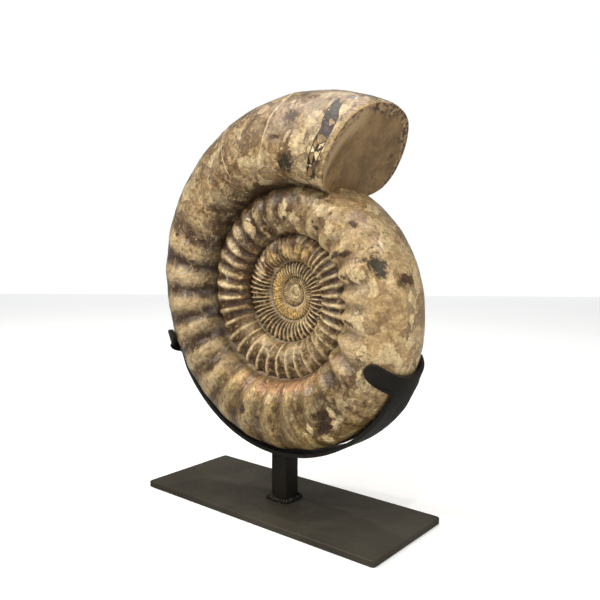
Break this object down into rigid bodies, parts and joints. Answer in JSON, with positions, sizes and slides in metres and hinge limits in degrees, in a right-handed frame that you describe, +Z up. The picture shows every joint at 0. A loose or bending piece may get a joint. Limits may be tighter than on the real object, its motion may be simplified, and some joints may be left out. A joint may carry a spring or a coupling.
{
  "type": "ammonite fossil on a stand",
  "caption": "Large polished ribbed ammonite shell, complete on both sides, held on edge by a curved steel cradle on a square post and a flat rectangular base plate.",
  "frame": {"origin": "centre of the base plate's underside", "axes": "+Z up, X along the base plate and the plane of the coil, +Y through the shell to its back; the shell's mouth is at the upper right seen from -Y"},
  "size_m": [0.3854, 0.15, 0.5226],
  "materials": {
    "fossil": "gloss",
    "black_steel": "satin",
    "plate_steel": "satin"
  },
  "bodies": {
    "root": {"ammonite": "fossil", "cradle": "black_steel", "post": "black_steel", "weld_bead": "black_steel", "base_plate": "plate_steel"}
  },
  "joints": []
}
